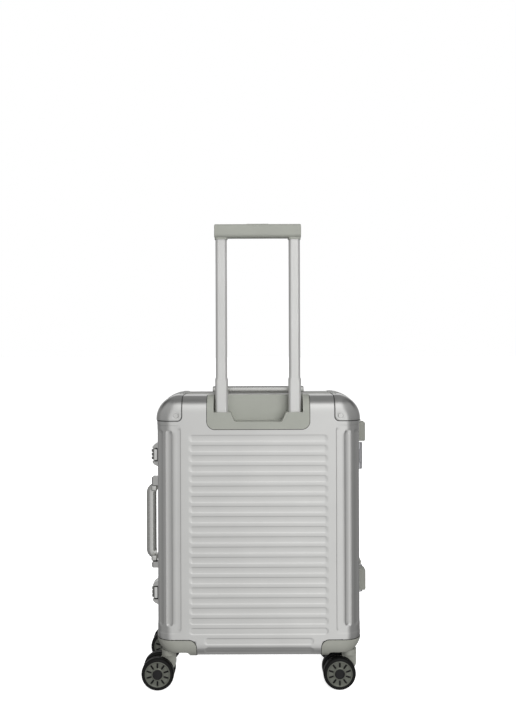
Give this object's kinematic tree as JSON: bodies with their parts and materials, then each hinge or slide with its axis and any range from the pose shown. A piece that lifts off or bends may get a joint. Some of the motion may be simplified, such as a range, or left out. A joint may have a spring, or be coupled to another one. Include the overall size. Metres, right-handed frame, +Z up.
{
  "type": "hard shell wheeled suitcase",
  "caption": "Upright hard shell cabin case of ribbed aluminium with riveted corners, framed opening, latches, telescopic trolley handle and twin-wheel swivel casters.",
  "frame": {"origin": "middle of the overall box, on the floor under the wheels", "axes": "+Z up along the trolley, -Y out of the trolley face, +X towards the hinges, latches at -X"},
  "size_m": [0.413, 0.204, 0.845],
  "materials": {
    "shell_sheet": "satin, pressed sheet",
    "frame_rail": "satin extrusion",
    "guard_sheet": "satin sheet",
    "rivet": "bright rivet",
    "seal": "soft black rubber",
    "housing_plastic": "fine grain moulded grey",
    "tube": "satin anodised",
    "bracket_plastic": "moulded black",
    "foot_plastic": "moulded grey",
    "hinge_metal": "satin",
    "latch_metal": "satin cast metal",
    "dial": "moulded black",
    "lining": "woven polyester",
    "handle_metal": "satin",
    "fork_plastic": "moulded grey",
    "hub_plastic": "moulded dark grey",
    "tyre": "cast polyurethane",
    "pin": "plain steel"
  },
  "bodies": {
    "back_half": {"back_shell": "shell_sheet", "back_frame": "frame_rail", "frame_seal": "seal", "trolley_housing": "housing_plastic", "trolley_outer_tubes": "tube", "trolley_foot_bracket": "bracket_plastic", "back_corner_guards": "guard_sheet", "back_rivets": "rivet", "back_wheel_housings": "housing_plastic", "back_side_feet": "foot_plastic", "back_hinge_leaves": "hinge_metal", "hinge_pins": "pin", "latch_bases": "latch_metal", "side_handle_brackets": "latch_metal", "top_handle_brackets": "latch_metal", "back_lining": "lining"},
    "front_half": {"front_shell": "shell_sheet", "front_frame": "frame_rail", "front_corner_guards": "guard_sheet", "front_rivets": "rivet", "front_wheel_housings": "housing_plastic", "front_side_feet": "foot_plastic", "front_hinge_leaves": "hinge_metal", "latch_strikes": "latch_metal", "front_lining": "lining"},
    "trolley_middle": {"trolley_middle_tubes": "tube"},
    "trolley_inner": {"trolley_inner_tubes": "tube", "trolley_grip": "housing_plastic"},
    "release": {"release_button": "housing_plastic", "release_rods": "pin"},
    "side_handle": {"side_handle_grip": "handle_metal"},
    "top_handle": {"top_handle_grip": "handle_metal"},
    "upper_latch_lever": {"upper_latch_lever": "latch_metal"},
    "upper_latch_dials": {"upper_latch_dials": "dial"},
    "lower_latch_lever": {"lower_latch_lever": "latch_metal"},
    "lower_latch_dials": {"lower_latch_dials": "dial"},
    "back_left_caster": {"back_left_fork": "fork_plastic", "back_left_pins": "pin"},
    "back_left_wheel_a": {"back_left_hub_a": "hub_plastic", "back_left_tyre_a": "tyre"},
    "back_left_wheel_b": {"back_left_hub_b": "hub_plastic", "back_left_tyre_b": "tyre"},
    "back_right_caster": {"back_right_fork": "fork_plastic", "back_right_pins": "pin"},
    "back_right_wheel_a": {"back_right_hub_a": "hub_plastic", "back_right_tyre_a": "tyre"},
    "back_right_wheel_b": {"back_right_hub_b": "hub_plastic", "back_right_tyre_b": "tyre"},
    "front_left_caster": {"front_left_fork": "fork_plastic", "front_left_pins": "pin"},
    "front_left_wheel_a": {"front_left_hub_a": "hub_plastic", "front_left_tyre_a": "tyre"},
    "front_left_wheel_b": {"front_left_hub_b": "hub_plastic", "front_left_tyre_b": "tyre"},
    "front_right_caster": {"front_right_fork": "fork_plastic", "front_right_pins": "pin"},
    "front_right_wheel_a": {"front_right_hub_a": "hub_plastic", "front_right_tyre_a": "tyre"},
    "front_right_wheel_b": {"front_right_hub_b": "hub_plastic", "front_right_tyre_b": "tyre"}
  },
  "joints": [
    {"name": "lid_hinge", "type": "hinge", "parent": "back_half", "child": "front_half", "pos_m": [0.2018, 0, 0.2955], "axis": [0, 0, -1], "range_deg": [0, 105]},
    {"name": "middle_slide", "type": "slide", "parent": "back_half", "child": "trolley_middle", "axis": [0, 0, 1], "range_m": [-0.0608, 0.175]},
    {"name": "inner_slide", "type": "slide", "parent": "trolley_middle", "child": "trolley_inner", "axis": [0, 0, 1], "range_m": [-0.2513, 0]},
    {"name": "release_press", "type": "slide", "parent": "trolley_inner", "child": "release", "axis": [0, 0, -1], "range_m": [0, 0.003], "stiffness_N_per_m": 500, "springref_m": -0.004},
    {"name": "side_handle_lift", "type": "hinge", "parent": "back_half", "child": "side_handle", "pos_m": [-0.188, -0.033, 0.292], "axis": [0, 0, 1], "range_deg": [0, 90]},
    {"name": "top_handle_lift", "type": "hinge", "parent": "back_half", "child": "top_handle", "pos_m": [0.007, -0.025, 0.5423], "axis": [-1, 0, 0], "range_deg": [0, 90]},
    {"name": "upper_latch_swing", "type": "hinge", "parent": "back_half", "child": "upper_latch_lever", "pos_m": [-0.187, -0.007, 0.4195], "axis": [0, 0, 1], "range_deg": [0, 95]},
    {"name": "upper_latch_dial_turn", "type": "hinge", "parent": "back_half", "child": "upper_latch_dials", "pos_m": [-0.1896, -0.021, 0.4195], "axis": [0, 0, 1], "continuous": true},
    {"name": "lower_latch_swing", "type": "hinge", "parent": "back_half", "child": "lower_latch_lever", "pos_m": [-0.187, -0.007, 0.1595], "axis": [0, 0, 1], "range_deg": [0, 95]},
    {"name": "lower_latch_dial_turn", "type": "hinge", "parent": "back_half", "child": "lower_latch_dials", "pos_m": [-0.1896, -0.021, 0.1595], "axis": [0, 0, 1], "continuous": true},
    {"name": "back_left_swivel", "type": "hinge", "parent": "back_half", "child": "back_left_caster", "pos_m": [-0.158, -0.07, 0.066], "axis": [0, 0, 1], "continuous": true},
    {"name": "back_left_roll_a", "type": "hinge", "parent": "back_left_caster", "child": "back_left_wheel_a", "pos_m": [-0.177, -0.07, 0.0295], "axis": [0, 1, 0], "continuous": true},
    {"name": "back_left_roll_b", "type": "hinge", "parent": "back_left_caster", "child": "back_left_wheel_b", "pos_m": [-0.177, -0.07, 0.0295], "axis": [0, 1, 0], "continuous": true},
    {"name": "back_right_swivel", "type": "hinge", "parent": "back_half", "child": "back_right_caster", "pos_m": [0.172, -0.07, 0.066], "axis": [0, 0, 1], "continuous": true},
    {"name": "back_right_roll_a", "type": "hinge", "parent": "back_right_caster", "child": "back_right_wheel_a", "pos_m": [0.153, -0.07, 0.0295], "axis": [0, 1, 0], "continuous": true},
    {"name": "back_right_roll_b", "type": "hinge", "parent": "back_right_caster", "child": "back_right_wheel_b", "pos_m": [0.153, -0.07, 0.0295], "axis": [0, 1, 0], "continuous": true},
    {"name": "front_left_swivel", "type": "hinge", "parent": "front_half", "child": "front_left_caster", "pos_m": [-0.158, 0.07, 0.066], "axis": [0, 0, 1], "continuous": true},
    {"name": "front_left_roll_a", "type": "hinge", "parent": "front_left_caster", "child": "front_left_wheel_a", "pos_m": [-0.177, 0.07, 0.0295], "axis": [0, 1, 0], "continuous": true},
    {"name": "front_left_roll_b", "type": "hinge", "parent": "front_left_caster", "child": "front_left_wheel_b", "pos_m": [-0.177, 0.07, 0.0295], "axis": [0, 1, 0], "continuous": true},
    {"name": "front_right_swivel", "type": "hinge", "parent": "front_half", "child": "front_right_caster", "pos_m": [0.172, 0.07, 0.066], "axis": [0, 0, 1], "continuous": true},
    {"name": "front_right_roll_a", "type": "hinge", "parent": "front_right_caster", "child": "front_right_wheel_a", "pos_m": [0.153, 0.07, 0.0295], "axis": [0, 1, 0], "continuous": true},
    {"name": "front_right_roll_b", "type": "hinge", "parent": "front_right_caster", "child": "front_right_wheel_b", "pos_m": [0.153, 0.07, 0.0295], "axis": [0, 1, 0], "continuous": true}
  ]
}
